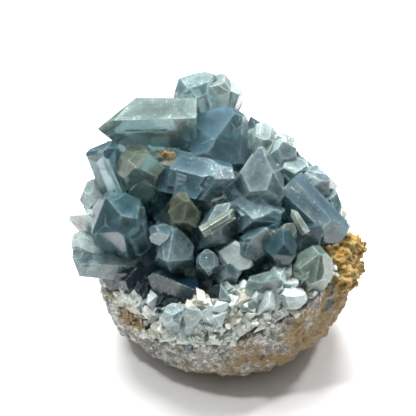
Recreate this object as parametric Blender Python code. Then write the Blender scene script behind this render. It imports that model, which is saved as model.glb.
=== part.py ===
"""Celestite cluster: a broken piece of a geode, 108 mm wide.

A rounded rock matrix rests on a small flat spot. A pale druse of small crystals lines its broken rim, large
celestite crystals fill the dish and rise to a crown at the back, and an ochre crust sits on the right rim.

Metres, +Z up, the front of the specimen towards -Y. The origin is on the table, under the middle of the
specimen. Sizes below are in millimetres and go through MM.
"""

import itertools
import math
import random

import bmesh
import bpy
from mathutils import Matrix, Vector, noise

MM = 0.001
GAP = 0.3  # clear gap between touching pieces
MERGE = 0.002  # points closer than this become one
FLAT_WITHIN = 0.2  # faces within this many degrees of each other become one
MIDDLE = (0.37, 1.01, 0)  # the specimen is shaped about the matrix's axis and then stood about its own middle

# Leans of celestite's faces, in degrees, the same on every crystal however long or wide it grew
PRISM_TURN = 37.9  # the four side faces, turned this far from the width axis
GABLE_LEAN = 38.0  # the two end faces across the width
ROOF_LEAN = 50.6  # the two end faces across the thickness

# Matrix: radius of its widest level and height of its rim, every 45 degrees from the right, anticlockwise
MATRIX_RADIUS = (51.0, 49.0, 45.0, 46.5, 46.5, 42.0, 41.5, 46.0)
MATRIX_RIM = (46.0, 56.0, 65.0, 56.0, 36.0, 25.0, 29.0, 42.0)
WIDEST_LEVEL = 33.0
BELOW_REACH = 35.0  # the wall curves in below the widest level as an oval this deep
BELOW_POWER = 2.7  # and this full-bodied
ABOVE_REACH = 62.0  # it curves in more gently above
DISH_CENTRE = 41.0  # height of the matrix in the middle of its dish
ROCK_LUMPS = ((1.3, 13.0), (0.6, 5.0))  # height and size of the swellings on the wall
MATRIX_STEPS = 40
WALL_STEPS = 9
WALL_CROWDING = 1.4  # the wall's levels crowd towards the foot by this power
DISH_STEPS = 3

# Druse: how far its crest stands above the dish every 45 degrees, as for the matrix
DRUSE_CREST = (5.0, 5.5, 6.0, 7.5, 10.0, 11.0, 9.5, 6.0)
DRUSE_STEPS = 22
# Share of the rim radius and of the crest height along the band's top, from the outside in
DRUSE_BAND = ((0.985, 0.1), (0.94, 0.6), (0.85, 1.0), (0.7, 0.85), (0.58, 0.4))
DRUSE_LUMP = (0.8, 4.0)
SMALL_CRYSTALS = 28
SMALL_LENGTH = (4.5, 7.0)
SMALL_WIDTH = (4.0, 6.5)
SMALL_ROOT = 3.0  # length that is inside the band

# The mass that the large crystals grow from, between the dish and the crystals
ROOT_REACH = 0.74
ROOT_STEPS = 16
ROOT_RINGS = 3
ROOT_EDGE = 6  # its top stays level until near the edge, by this power
ROOT_THICKNESS = 1.5
ROOT_LUMP = (2.0, 7.0)
MOUND_HEIGHT = 55.0  # its top, in the middle
MOUND_RISE = 0.75  # slope up towards the back
MOUND_BACK = 30.0  # where that slope ends
MOUND_FALL = 0.0085  # curve down towards the sides

# Middling crystals that fill in on the mass
FILL_CRYSTALS = 24
FILL_REACH = 0.84
FILL_SINK = 7.0  # how much lower they start at the mass's edge
FILL_LENGTH = (10.0, 15.0)
FILL_WIDTH = (9.0, 13.0)
FILL_ROOT = 6.0
GOLDEN_ANGLE = 137.5

# Middles of the lumps that make the ochre crust
CRUST_LUMPS = ((44, -15, 48), (47, -8, 49), (46, -20, 43), (39, -13, 51), (49, -14, 43), (50, -5, 45))
LUMP_RADIUS = (4.4, 5.6)

# Ends of a large crystal: how far out its gables stand, as a share of the width, and its roofs, as a share of
# the thickness, and how far below the tip a flat cuts it, as a share of the width
END_SHAPES = {
    "gable": (0, 0.16, 0),
    "roof": (0.16, 0, 0),
    "point": (0, 0.02, 0),
    "blunt": (0.06, 0.1, 0.12),
    "cut": (0.05, 0.05, 0.26),
}

# Colour and roughness
LOOKS = {
    "matrix": ((0.42, 0.37, 0.3), 0.9),
    "druse": ((0.72, 0.75, 0.72), 0.35),
    "crystals": ((0.22, 0.33, 0.38), 0.12),
    "ochre_crust": ((0.58, 0.36, 0.1), 0.85),
}

# Large crystals: where the tip is, where it points, (length, width, thickness), spin about the length, the
# shape of the end, and how far aside from the tip the body stands, across and up
LARGE_CRYSTALS = {
    "crown": ((-11, 31, 101), (-0.25, 0.1, 1), (38, 18, 15), 125, "cut", (0, -1)),
    "crown_right": ((-1, 32, 100), (0.1, 0.1, 1), (36, 16, 13), 80, "cut", (0, 0)),
    "crown_knob": ((6, 32, 95), (0.3, 0, 1), (26, 10, 9), 20, "cut", (0, -1)),
    "table": ((-44, 18, 83), (-1, 0, 0), (36, 20, 17), 35, "roof", (2, 3)),
    "keystone": ((1, 8, 89), (0.1, -0.6, 0.8), (36, 28, 24), -42, "gable", (0, 0)),
    "fin": ((-44, 9, 84), (-0.3, 0.2, 0.9), (34, 15, 10), -76, "blunt", (0, 0)),
    "under_table": ((-38, 11, 81), (-0.8, -0.5, 0.3), (30, 20, 16), -20, "roof", (0, 0)),
    "diamond": ((-30, -4, 83), (-0.2, -0.75, 0.6), (30, 20, 19), 15, "point", (-1, -2)),
    "knot": ((-19, 4, 83), (-0.2, -0.5, 0.8), (14, 8, 6), 0, "point", (0, -1)),
    "wedge": ((6, -6, 78), (0.9, -0.5, 0.1), (30, 20, 15), 10, "point", (-1, -3)),
    "mirror": ((18, -4, 83), (0.3, -0.4, 0.9), (26, 22, 18), 80, "roof", (-1, -2)),
    "slab": ((22, -16, 66), (0.6, -0.8, -0.1), (30, 18, 13), 20, "point", (-3, -3)),
    "amber": ((20, 14, 79), (0.2, -0.6, 0.8), (24, 16, 13), 50, "roof", (-2, -1)),
    "shoulder_high": ((18, 20, 85), (0.3, 0.2, 0.9), (20, 10, 8), 20, "point", (-1, 0)),
    "shoulder": ((31, 8, 75), (0.6, -0.4, 0.7), (20, 12, 9), -25, "blunt", (0, 0)),
    "outer_right": ((41, 4, 70), (0.6, -0.5, 0.7), (26, 17, 14), 110, "point", (0, -1)),
    "edge_right": ((45, -1, 63), (0.7, -0.4, 0.6), (20, 14, 8), 70, "roof", (-1, -2)),
    "long_right": ((45, -12, 55), (0.7, -0.5, -0.5), (28, 14, 12), 35, "roof", (-1, 0)),
    "tile_high": ((26, -12, 69), (-0.5, 0.5, 0.7), (10, 7, 3), 55, "roof", (0, 0)),
    "tile_low": ((27, -15, 65), (0.5, 0.5, 0.6), (10, 7, 3), 30, "gable", (0, 0)),
    "dark_tile": ((21, -9, 68), (0.2, -0.7, 0.7), (14, 9, 7), 50, "blunt", (0, -1)),
    "smoky": ((-11, -14, 74), (0.2, -0.5, 0.8), (22, 14, 12), 100, "point", (-1, 0)),
    "sliver": ((0, -10, 72), (0.4, -0.6, 0.7), (14, 7, 4), 0, "roof", (1, 0)),
    "stripe": ((3, -17, 72), (0.4, -0.6, 0.7), (24, 17, 13), 35, "roof", (-2, -3)),
    "funnel": ((-39, -14, 74), (-0.1, -0.4, 0.9), (34, 22, 20), 50, "gable", (0, -2)),
    "prow": ((-53, -21, 51), (-0.9, -0.3, 0.3), (30, 12, 10), -40, "roof", (-2, -3)),
    "pale_left": ((-48, 2, 69), (-0.4, -0.3, 0.9), (22, 13, 10), -60, "blunt", (1, 0)),
    "pale_left_low": ((-51, -8, 63), (-0.7, -0.3, 0.6), (22, 15, 10), 40, "roof", (0, -1)),
    "pale_left_foot": ((-53, -13, 58), (-0.8, -0.2, 0.6), (20, 10, 8), -50, "blunt", (2, 0)),
    "frosted": ((-17, -22, 62), (-0.1, -0.5, 0.85), (22, 16, 14), 90, "roof", (0, 0)),
    "frosted_high": ((-21, -18, 63), (-0.2, -0.6, 0.7), (16, 10, 8), -10, "roof", (-1, 0)),
    "block": ((6, -25, 58), (0.1, -0.8, 0.6), (22, 14, 12), -25, "cut", (1, -1)),
    "block_low": ((3, -28, 54), (-0.1, -0.8, 0.6), (16, 11, 8), 15, "gable", (-1, -2)),
    "lattice": ((-4, -27, 58), (0, -0.6, 0.8), (18, 9, 8), 90, "blunt", (0, 0)),
    "in_the_middle": ((13, -21, 64), (-0.1, -0.6, 0.8), (22, 15, 10), 40, "roof", (-1, -1)),
    "facet": ((19, -17, 63), (-0.2, -0.5, 0.8), (14, 8, 6), -5, "roof", (1, 0)),
    "deep_right": ((23, -24, 63), (0, -0.5, 0.9), (24, 14, 12), 0, "gable", (0, 0)),
    "deep_far_right": ((32, -18, 65), (0, -0.4, 0.9), (26, 15, 12), 15, "roof", (-1, 0)),
    "low_right": ((16, -35, 54), (-0.1, -0.7, 0.7), (18, 15, 10), 20, "roof", (-1, -1)),
    "clear": ((36, -28, 61), (0.2, -0.4, 0.9), (20, 16, 14), 50, "point", (-1, 0)),
    "white": ((28, -38, 50), (0.3, -0.6, 0.7), (14, 11, 9), -20, "roof", (0, 1)),
    "milky": ((-15, -41, 45), (0, -0.5, 0.85), (12, 9, 8), -60, "gable", (-1, -1)),
    "milky_right": ((-10, -40, 46), (0.1, -0.5, 0.85), (12, 8, 7), -20, "roof", (1, -1)),
    "deep_blue": ((-15, -29, 49), (-0.1, -0.5, 0.8), (14, 22, 15), -15, "roof", (-1, -1)),
    "under_table_left": ((-40, 14, 80), (-0.6, 0.1, 0.7), (26, 13, 11), 40, "roof", (0, 0)),
    "stripe_edge": ((6, -19, 73), (0.86, 0.31, 0.4), (14, 4, 3), 48, "roof", (0, 0)),
    "shoulder_far": ((24, 20, 80), (0.5, 0.1, 0.8), (18, 10, 8), 60, "roof", (0, 0)),
    "shoulder_near": ((27, 13, 79), (0.6, -0.2, 0.8), (20, 13, 10), 20, "gable", (0, 0)),
    "hollow_far": ((-38, -18, 44), (-0.3, -0.5, 0.8), (12, 15, 10), 20, "roof", (0, 0)),
    "hollow": ((-32, -20, 45), (-0.2, -0.5, 0.8), (14, 18, 12), -25, "gable", (0, 0)),
    "hollow_near": ((-24, -18, 46), (0, -0.5, 0.8), (14, 16, 12), 40, "roof", (0, 0)),
}


def round_the_rim(values, angle):
    """A smooth closed curve through the values, which stand at equal angles round the specimen."""
    place = angle / (2 * math.pi) * len(values)
    at = math.floor(place)
    t = place - at
    a, b, c, d = (values[(at + k) % len(values)] for k in (-1, 0, 1, 2))
    return b + 0.5 * t * (c - a + t * (2 * a - 5 * b + 4 * c - d + t * (3 * (b - c) + d - a)))


def wall_radius(angle, height):
    """Distance of the matrix's outer wall from the axis."""
    widest = round_the_rim(MATRIX_RADIUS, angle)
    if height < WIDEST_LEVEL:
        below = (WIDEST_LEVEL - height) / BELOW_REACH
        return widest * (1 - below**BELOW_POWER) ** (1 / BELOW_POWER)
    return widest * math.sqrt(1 - ((height - WIDEST_LEVEL) / ABOVE_REACH) ** 2)


def rim_radius(angle):
    return wall_radius(angle, round_the_rim(MATRIX_RIM, angle))


def dish_height(angle, share):
    """Height of the matrix's dished top at a share of the rim's radius."""
    return DISH_CENTRE + (round_the_rim(MATRIX_RIM, angle) - DISH_CENTRE) * share**2


def polar(angle, radius, height):
    return Vector((radius * math.cos(angle), radius * math.sin(angle), height))


def swelling(at, height, size):
    return height * noise.noise(at / size)


def angles(steps):
    return [2 * math.pi * i / steps for i in range(steps)]


def faced_out(bm):
    """The same closed bmesh with every face pointing out."""
    bmesh.ops.recalc_face_normals(bm, faces=bm.faces)
    if bm.calc_volume(signed=True) < 0:
        bmesh.ops.reverse_faces(bm, faces=bm.faces)
    return bm


def skin(loops, closed):
    """A bmesh over equal loops of points, in metres. Closed joins the last loop to the first, as on a ring;
    otherwise each end is filled with a fan about its middle."""
    bm = bmesh.new()
    rows = [[bm.verts.new(p * MM) for p in loop] for loop in loops]
    pairs = list(zip(rows, rows[1:]))
    if closed:
        pairs.append((rows[-1], rows[0]))
    for lower, upper in pairs:
        for i, vert in enumerate(lower):
            j = (i + 1) % len(lower)
            bm.faces.new((vert, lower[j], upper[j], upper[i]))
    if not closed:
        for row in (rows[0], rows[-1]):
            middle = bm.verts.new(sum((v.co for v in row), Vector()) / len(row))
            for i, vert in enumerate(row):
                bm.faces.new((vert, row[(i + 1) % len(row)], middle))
    bmesh.ops.triangulate(bm, faces=bm.faces, quad_method="FIXED")
    return faced_out(bm)


def matrix_body(grow=0.0):
    """The rock: flat spot, rounded wall, broken rim and dished top, with every face moved out by grow."""
    loops = []
    for step in range(WALL_STEPS + 1):
        loop = []
        for angle in angles(MATRIX_STEPS):
            rim = round_the_rim(MATRIX_RIM, angle)
            height = rim * (step / WALL_STEPS) ** WALL_CROWDING
            at = polar(angle, wall_radius(angle, height), height)
            radius = at.xy.length + sum(swelling(at, *lump) for lump in ROCK_LUMPS)
            loop.append(polar(angle, radius + grow, height + (grow if step == WALL_STEPS else 0)))
        loops.append(loop)
    for step in range(1, DISH_STEPS + 1):
        share = 1 - step / (DISH_STEPS + 1)
        loops.append(
            [polar(a, share * rim_radius(a), dish_height(a, share) + grow) for a in angles(MATRIX_STEPS)]
        )
    return skin(loops, closed=False)


def druse_band():
    """The granular band that the small crystals stand on, a ring round the top of the dish."""
    top = []
    under = []
    for share, rise in DRUSE_BAND:
        over = []
        for a in angles(DRUSE_STEPS):
            lift = rise * round_the_rim(DRUSE_CREST, a)
            at = polar(a, share * rim_radius(a), dish_height(a, share) + GAP + lift)
            at.z += swelling(at, *DRUSE_LUMP)
            over.append(at)
        top.append(over)
        under.append(
            [polar(a, share * rim_radius(a), dish_height(a, share) + GAP) for a in angles(DRUSE_STEPS)]
        )
    return skin(top + under[::-1], closed=True)


def mound_height(x, y):
    """Top of the mass that the large crystals grow from."""
    return MOUND_HEIGHT + MOUND_RISE * min(y, MOUND_BACK) - MOUND_FALL * x * x


def root_mass(grow=0.0):
    """The crystalline mass between the dish and the large crystals."""
    under = []
    over = []
    for ring in range(ROOT_RINGS, 0, -1):
        share = ROOT_REACH * ring / ROOT_RINGS
        low = []
        high = []
        for a in angles(ROOT_STEPS):
            radius = share * rim_radius(a)
            floor = dish_height(a, share) + GAP
            at = polar(a, radius, 0)
            thick = mound_height(at.x, at.y) + swelling(at, *ROOT_LUMP) - floor
            thick = max(thick, ROOT_THICKNESS) * (1 - (ring / ROOT_RINGS) ** ROOT_EDGE)
            top = floor + thick + ROOT_THICKNESS / 3
            out = radius + (grow if ring == ROOT_RINGS else 0)
            low.append(polar(a, out, floor - grow))
            high.append(polar(a, out, top + grow))
        under.append(low)
        over.append(high)
    return skin(under[::-1] + over, closed=False)


def leaning(lean, towards):
    """Unit normal leaning this many degrees from the long axis, towards a unit vector across it."""
    lean = math.radians(lean)
    return Vector((0, 0, math.cos(lean))) + math.sin(lean) * Vector(towards)


def prism_faces(size, aside):
    """Normals and distances of a crystal's side faces and root end. Its tip is at the origin, pointing +Z."""
    length, width, thick = size
    turn = math.radians(PRISM_TURN)
    faces = [(Vector((0, 0, -1)), length)]
    for side in (-1, 1):
        for up in (-1, 1):
            normal = Vector((side * math.cos(turn), up * math.sin(turn), 0))
            faces.append((normal, math.cos(turn) * width / 2 + normal.dot(aside)))
        if thick < width:
            faces.append((Vector((0, side, 0)), thick / 2 + side * aside.y))
    return faces


def end_faces(kind, width, thick, luck):
    """The faces at a crystal's tip: two gables, two roofs and, on a blunt end, a flat across the point."""
    gable, roof, flat = END_SHAPES[kind]
    faces = [(Vector((0, 0, 1)), -flat * width)] if flat else []
    for side in (-1, 1):
        faces.append((leaning(GABLE_LEAN, (side, 0, 0)), gable * width * luck.uniform(0.6, 1.4)))
        faces.append((leaning(ROOF_LEAN, (0, side, 0)), roof * thick * luck.uniform(0.6, 1.4)))
    return faces


def crystal(tip, points, size, spin, faces, grow=0.0):
    """One flat-faced crystal: a block cut by each of the crystal's faces in turn."""
    made = bmesh.new()
    bmesh.ops.create_cube(made, size=6 * max(size))
    for normal, distance in faces:
        cut = bmesh.ops.bisect_plane(
            made,
            geom=made.verts[:] + made.edges[:] + made.faces[:],
            plane_co=normal * (distance + grow),
            plane_no=normal,
            clear_outer=True,
        )
        edges = [e for e in cut["geom_cut"] if isinstance(e, bmesh.types.BMEdge)]
        if edges:
            bmesh.ops.contextual_create(made, geom=edges)
    out = Vector(points).normalized()
    across = Vector((0, 0, 1)).cross(out)
    across = across.normalized() if across.length > 0.05 else Vector((1, 0, 0))
    up = out.cross(across)
    turned = Matrix((across, up, out)).transposed().to_4x4() @ Matrix.Rotation(math.radians(spin), 4, "Z")
    made.transform(Matrix.Scale(MM, 4) @ Matrix.Translation(Vector(tip)) @ turned)
    return faced_out(made)


def plain_crystal(luck, root, points, length, width, grow=0.0):
    """A short crystal with one roof at its end, for the many that fill in between the large ones."""
    thick = width * luck.uniform(0.6, 0.85)
    size = (length, width, thick)
    faces = [f for f in prism_faces(size, Vector()) if abs(f[0].y) < 0.9]
    slope = luck.choice(((GABLE_LEAN, 0), (ROOF_LEAN, 1)))
    for side in (-1, 1):
        towards = (side, 0, 0) if slope[1] == 0 else (0, side, 0)
        faces.append((leaning(slope[0], towards), luck.uniform(0.0, 0.12) * width))
    spin = luck.uniform(0, 180)
    return crystal(Vector(root) + Vector(points).normalized() * length, points, size, spin, faces, grow)


def large_crystals(grow=0.0):
    for name, (tip, points, size, spin, end, aside) in LARGE_CRYSTALS.items():
        faces = prism_faces(size, Vector((*aside, 0))) + end_faces(end, size[1], size[2], random.Random(name))
        yield crystal(tip, points, size, spin, faces, grow)


def fill_crystals(grow=0.0):
    """Middling crystals all over the mound, most on the back and sides, so that no bare mass is seen."""
    luck = random.Random(7)
    for place in range(FILL_CRYSTALS):
        angle = math.radians(GOLDEN_ANGLE * place + luck.uniform(-12, 12))
        share = FILL_REACH * math.sqrt((place + 0.5) / FILL_CRYSTALS)
        base = polar(angle, share * rim_radius(angle), 0)
        base.z = max(mound_height(base.x, base.y), dish_height(angle, share) + ROOT_THICKNESS)
        base.z -= FILL_SINK * share**2
        out = Vector((base.x, base.y - 6, 38 - 29 * share**2)).normalized()
        length = luck.uniform(*FILL_LENGTH)
        yield plain_crystal(luck, base - FILL_ROOT * out, out, length, luck.uniform(*FILL_WIDTH), grow)


def small_crystals():
    """The druse's small crystals, on the face and the crest of its band."""
    luck = random.Random(3)
    for place in range(SMALL_CRYSTALS):
        angle = 2 * math.pi * (place + luck.uniform(-0.3, 0.3)) / SMALL_CRYSTALS
        share, rise = DRUSE_BAND[luck.choice((1, 1, 2, 2, 3))]
        share -= luck.uniform(0, 0.03)
        height = dish_height(angle, share) + rise * round_the_rim(DRUSE_CREST, angle)
        base = polar(angle, share * rim_radius(angle), height)
        out = polar(angle + luck.uniform(-0.5, 0.5), 3 * share - 1.7, luck.uniform(0.7, 1.5)).normalized()
        length = luck.uniform(*SMALL_LENGTH)
        yield plain_crystal(luck, base - SMALL_ROOT * out, out, length, luck.uniform(*SMALL_WIDTH))


def crust_lumps(grow=0.0):
    """The ochre crust: rounded lumps run together over the matrix's rim on the right."""
    luck = random.Random(11)
    for place in CRUST_LUMPS:
        lump = bmesh.new()
        radius = luck.uniform(*LUMP_RADIUS) + grow
        bmesh.ops.create_icosphere(lump, subdivisions=1, radius=radius * MM)
        bmesh.ops.translate(lump, verts=lump.verts, vec=Vector(place) * MM)
        yield lump


def as_object(name, bm):
    mesh = bpy.data.meshes.new(name)
    bm.to_mesh(mesh)
    bm.free()
    obj = bpy.data.objects.new(name, mesh)
    bpy.context.scene.collection.objects.link(obj)
    return obj


def as_objects(name, shapes):
    return [as_object(name, shape) for shape in shapes]


def boolean(obj, operation, others):
    """Changes obj by the other objects, all in one operation, and removes them."""
    tools = bpy.data.collections.new("tools")
    bpy.context.scene.collection.children.link(tools)
    for other in others:
        tools.objects.link(other)
    change = obj.modifiers.new(operation, "BOOLEAN")
    change.operation = operation
    change.operand_type = "COLLECTION"
    change.collection = tools
    change.solver = "EXACT"
    graph = bpy.context.evaluated_depsgraph_get()
    made = bpy.data.meshes.new_from_object(obj.evaluated_get(graph))
    obj.modifiers.clear()
    obj.data = made
    for other in others:
        bpy.data.objects.remove(other)
    bpy.data.collections.remove(tools)


def run_together(name, shapes):
    """One solid from shapes that overlap."""
    first, *others = as_objects(name, shapes)
    boolean(first, "UNION", others)
    first.name = name
    return first


def keep_largest(obj):
    """Drops the crumbs that the cuts left, every shell but the largest, and merges what the cuts split."""
    bm = bmesh.new()
    bm.from_mesh(obj.data)
    left = set(bm.verts)
    shells = []
    while left:
        shell = {left.pop()}
        edge = list(shell)
        while edge:
            vert = edge.pop()
            for link in vert.link_edges:
                far = link.other_vert(vert)
                if far not in shell:
                    shell.add(far)
                    edge.append(far)
        left -= shell
        shells.append(shell)
    shells.sort(key=len)
    bmesh.ops.delete(bm, geom=[v for shell in shells[:-1] for v in shell], context="VERTS")
    bmesh.ops.remove_doubles(bm, verts=bm.verts, dist=MERGE * MM)
    bmesh.ops.dissolve_degenerate(bm, dist=MERGE * MM, edges=bm.edges)
    bmesh.ops.dissolve_limit(bm, angle_limit=math.radians(FLAT_WITHIN), verts=bm.verts, edges=bm.edges)
    bmesh.ops.triangulate(bm, faces=bm.faces)
    bm.to_mesh(obj.data)
    bm.free()


def give_material(obj, colour, roughness):
    material = bpy.data.materials.new(obj.name)
    material.use_nodes = True
    shader = material.node_tree.nodes["Principled BSDF"]
    shader.inputs["Base Color"].default_value = (*colour, 1)
    shader.inputs["Roughness"].default_value = roughness
    shader.inputs["Metallic"].default_value = 0
    obj.data.materials.clear()
    obj.data.materials.append(material)


def crystal_shapes(grow=0.0):
    """The large crystals, the fill crystals and the mass that they grow from."""
    return itertools.chain([root_mass(grow)], large_crystals(grow), fill_crystals(grow))


def main():
    for obj in list(bpy.data.objects):
        bpy.data.objects.remove(obj)

    matrix = as_object("matrix", matrix_body())
    crystals = run_together("crystals", crystal_shapes())
    druse = run_together("druse", itertools.chain([druse_band()], small_crystals()))
    crust = run_together("ochre_crust", crust_lumps())

    # The crystals stand on the matrix, the crust on both, and the druse gives way to all three
    boolean(crystals, "DIFFERENCE", as_objects("cutter", [matrix_body(GAP)]))
    boolean(crust, "DIFFERENCE", as_objects("cutter", [matrix_body(GAP), *crystal_shapes(GAP)]))
    cutters = [matrix_body(GAP), *crystal_shapes(GAP), *crust_lumps(1.3 * GAP)]
    boolean(druse, "DIFFERENCE", as_objects("cutter", cutters))
    for obj in (crystals, druse, crust):
        keep_largest(obj)

    for obj in (matrix, crystals, druse, crust):
        obj.data.transform(Matrix.Translation(-Vector(MIDDLE) * MM))
        give_material(obj, *LOOKS[obj.name])


if __name__ == "__main__":
    main()
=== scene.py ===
import math
import random

import bmesh
import bpy
from mathutils import Matrix, Vector, noise


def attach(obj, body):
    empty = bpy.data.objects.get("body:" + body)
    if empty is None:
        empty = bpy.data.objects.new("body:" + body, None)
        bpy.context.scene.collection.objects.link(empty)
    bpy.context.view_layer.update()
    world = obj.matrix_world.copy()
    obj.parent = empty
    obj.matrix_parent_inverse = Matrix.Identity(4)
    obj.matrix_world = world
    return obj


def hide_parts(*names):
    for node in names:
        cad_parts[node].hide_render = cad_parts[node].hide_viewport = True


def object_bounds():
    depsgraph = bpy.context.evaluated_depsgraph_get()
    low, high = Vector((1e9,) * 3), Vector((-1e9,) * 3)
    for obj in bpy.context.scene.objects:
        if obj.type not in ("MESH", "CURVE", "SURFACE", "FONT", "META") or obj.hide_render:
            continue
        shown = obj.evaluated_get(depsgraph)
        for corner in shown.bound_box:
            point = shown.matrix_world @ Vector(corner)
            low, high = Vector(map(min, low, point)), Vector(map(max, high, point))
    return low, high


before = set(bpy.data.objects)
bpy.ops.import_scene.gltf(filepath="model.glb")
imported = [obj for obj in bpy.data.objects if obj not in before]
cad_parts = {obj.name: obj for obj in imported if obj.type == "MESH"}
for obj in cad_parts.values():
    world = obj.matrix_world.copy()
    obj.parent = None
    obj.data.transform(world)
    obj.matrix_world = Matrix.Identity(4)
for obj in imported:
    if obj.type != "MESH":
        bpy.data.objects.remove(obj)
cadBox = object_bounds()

# Sizes below are in millimetres, about the rock's axis; place takes them to the frame
mm = 0.001
middle = Vector((0.37, 1.01, 0))
place = Matrix.Scale(mm, 4) @ Matrix.Translation(-middle)
scene = bpy.context.scene


# Shader maths


class Wire:
    # a socket of a node: sums written with it add Math nodes, or Vector Math nodes where a side is a vector

    def __init__(self, look, socket):
        self.look = look
        self.socket = socket

    def isVector(self):
        return self.socket.type in {"VECTOR", "RGBA"}

    def sum(self, operation, first, second):
        if any(isinstance(side, Wire) and side.isVector() for side in (first, second)):
            sides = [(side,) * 3 if isinstance(side, (int, float)) else side for side in (first, second)]
            return self.look.node("ShaderNodeVectorMath", {"operation": operation}, dict(enumerate(sides)))
        return self.look.node("ShaderNodeMath", {"operation": operation}, {0: first, 1: second})

    def __add__(self, other):
        return self.sum("ADD", self, other)

    def __radd__(self, other):
        return self.sum("ADD", other, self)

    def __sub__(self, other):
        return self.sum("SUBTRACT", self, other)

    def __rsub__(self, other):
        return self.sum("SUBTRACT", other, self)

    def __mul__(self, other):
        return self.sum("MULTIPLY", self, other)

    def __rmul__(self, other):
        return self.sum("MULTIPLY", other, self)

    def __truediv__(self, other):
        return self.sum("DIVIDE", self, other)

    def __pow__(self, other):
        return self.sum("POWER", self, other)


class Look:
    # one material while its nodes are laid

    def __init__(self, name):
        self.material = bpy.data.materials.new(name)
        self.material.use_nodes = True
        self.tree = self.material.node_tree
        self.tree.nodes.clear()

    def node(self, kind, settings=None, inputs=None, output=0):
        made = self.tree.nodes.new(kind)
        for key, value in (settings or {}).items():
            if key == "stops":
                self.setStops(made.color_ramp, value)
            else:
                setattr(made, key, value)
        for key, value in (inputs or {}).items():
            if isinstance(value, Wire):
                self.tree.links.new(value.socket, made.inputs[key])
            elif value is not None:
                made.inputs[key].default_value = value
        return Wire(self, made.outputs[output])

    def setStops(self, ramp, stops):
        while len(ramp.elements) < len(stops):
            ramp.elements.new(1)
        for element, (at, colour) in zip(ramp.elements, stops):
            element.position = at
            element.color = (*colour, 1) if len(colour) == 3 else colour

    def attribute(self, name, output="Fac"):
        return self.node("ShaderNodeAttribute", {"attribute_name": name}, output=output)

    def places(self):
        return self.node("ShaderNodeTexCoord", output="Object") * (1 / mm)

    def grain(self, at, size, detail=2.0, rough=0.5, twist=0.0):
        # noise with swellings of about this size, from 0 to 1
        inputs = {"Vector": at, "Scale": 1 / size, "Detail": detail, "Roughness": rough, "Distortion": twist}
        return self.node("ShaderNodeTexNoise", None, inputs)

    def cells(self, at, size, feature="F1"):
        inputs = {"Vector": at, "Scale": 1 / size}
        return self.node("ShaderNodeTexVoronoi", {"feature": feature}, inputs, "Distance")

    def ramp(self, factor, *stops):
        return self.node("ShaderNodeValToRGB", {"stops": stops}, {"Fac": factor})

    def window(self, value, low, high):
        # 0 below low, 1 above high
        inputs = {"Value": value, "From Min": low, "From Max": high}
        return self.node("ShaderNodeMapRange", {"interpolation_type": "SMOOTHSTEP"}, inputs)

    def mix(self, factor, first, second):
        first, second = ((*side, 1) if isinstance(side, tuple) else side for side in (first, second))
        return self.node("ShaderNodeMix", {"data_type": "RGBA"}, {0: factor, 6: first, 7: second}, 2)

    def dot(self, at, direction):
        return self.node("ShaderNodeVectorMath", {"operation": "DOT_PRODUCT"}, {0: at, 1: direction}, 1)

    def near(self, at, spot):
        # 1 inside a spot (x, y, z, radius) with a ragged edge, 0 outside it
        *centre, radius = spot
        away = self.node("ShaderNodeVectorMath", {"operation": "DISTANCE"}, {0: at, 1: tuple(centre)}, 1)
        ragged = away + (self.grain(at, radius / 2, 5, 0.75) - 0.5) * radius * 2.5
        return self.window(ragged, radius * 1.3, radius * 0.6)

    def bump(self, height, distance, strength=1.0, under=None):
        inputs = {"Height": height, "Distance": distance * mm, "Strength": strength, "Normal": under}
        return self.node("ShaderNodeBump", None, inputs)

    def principled(self, **inputs):
        named = {key.replace("_", " "): value for key, value in inputs.items()}
        return self.node("ShaderNodeBsdfPrincipled", None, named)

    def finish(self, surface, volume=None):
        made = self.tree.nodes.new("ShaderNodeOutputMaterial")
        self.tree.links.new(surface.socket, made.inputs["Surface"])
        if volume:
            self.tree.links.new(volume.socket, made.inputs["Volume"])
        return self.material


# Meshes

touching = 0.003  # points nearer to each other than this become one


def faceOut(bm):
    bmesh.ops.recalc_face_normals(bm, faces=bm.faces)
    if bm.calc_volume(signed=True) < 0:
        bmesh.ops.reverse_faces(bm, faces=bm.faces)


def addPiece(name, bm, node, material):
    mesh = bpy.data.meshes.new(name)
    bm.to_mesh(mesh)
    bm.free()
    addMesh(name, mesh, node, material)


def addMesh(name, mesh, node, material):
    piece = bpy.data.objects.new(name, mesh)
    scene.collection.objects.link(piece)
    mesh.materials.clear()
    mesh.materials.append(material)
    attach(piece, "root")
    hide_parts(node)
    print(f"{name}: {len(mesh.polygons)} faces")


def evaluated(obj):
    graph = bpy.context.evaluated_depsgraph_get()
    return bpy.data.meshes.new_from_object(obj.evaluated_get(graph))


def fused(name, shapes):
    # one mesh from closed shapes that overlap
    tools = bpy.data.collections.new("tools")
    scene.collection.children.link(tools)
    made = []
    for shape in shapes:
        mesh = bpy.data.meshes.new(name)
        shape.to_mesh(mesh)
        shape.free()
        holder = tools if made else scene.collection
        made.append(bpy.data.objects.new(name, mesh))
        holder.objects.link(made[-1])
    union = made[0].modifiers.new("fuse", "BOOLEAN")
    union.operation = "UNION"
    union.operand_type = "COLLECTION"
    union.collection = tools
    union.solver = "EXACT"
    mesh = evaluated(made[0])
    for obj in made:
        bpy.data.objects.remove(obj)
    bpy.data.collections.remove(tools)
    return mended(mesh)


def mended(mesh):
    # merges points that all but touch and closes what is left open
    bm = bmesh.new()
    bm.from_mesh(mesh)
    bmesh.ops.remove_doubles(bm, verts=bm.verts, dist=touching * mm)
    bmesh.ops.dissolve_degenerate(bm, edges=bm.edges, dist=touching * mm)
    bmesh.ops.holes_fill(bm, edges=[edge for edge in bm.edges if len(edge.link_faces) == 1], sides=0)
    bm.to_mesh(mesh)
    bm.free()
    return mesh


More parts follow.
